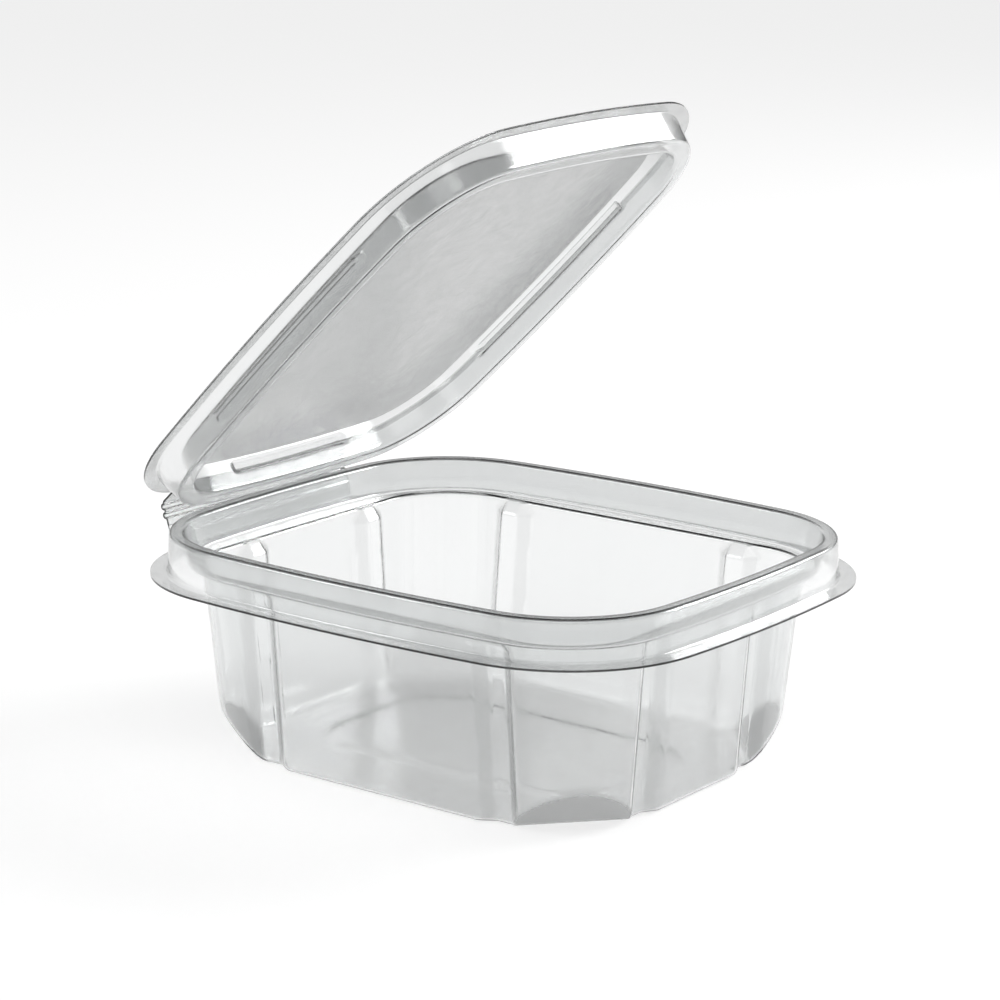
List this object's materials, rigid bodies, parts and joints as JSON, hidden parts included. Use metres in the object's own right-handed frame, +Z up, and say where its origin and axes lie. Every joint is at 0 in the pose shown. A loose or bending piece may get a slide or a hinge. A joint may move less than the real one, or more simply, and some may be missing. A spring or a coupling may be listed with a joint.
{
  "type": "hinged clear plastic food pack",
  "caption": "Clear formed plastic food pack: ribbed square tray with a stepped rim and a plug-in lid on a film hinge, lid standing open.",
  "frame": {"origin": "middle of the flat underside that the tray stands on", "axes": "+Z up, X along the hinge, the opening edge faces -Y and the hinge is on the +Y side"},
  "size_m": [0.1282, 0.1491, 0.1502],
  "materials": {
    "clear_sheet": "clear, glossy"
  },
  "bodies": {
    "tray": {"tray": "clear_sheet"},
    "lid": {"lid": "clear_sheet"}
  },
  "joints": [
    {"name": "lid_hinge", "type": "hinge", "parent": "tray", "child": "lid", "pos_m": [0, 0.0736, 0.0471], "axis": [-1, 0, 0], "range_deg": [-44.5, 135.5]}
  ]
}
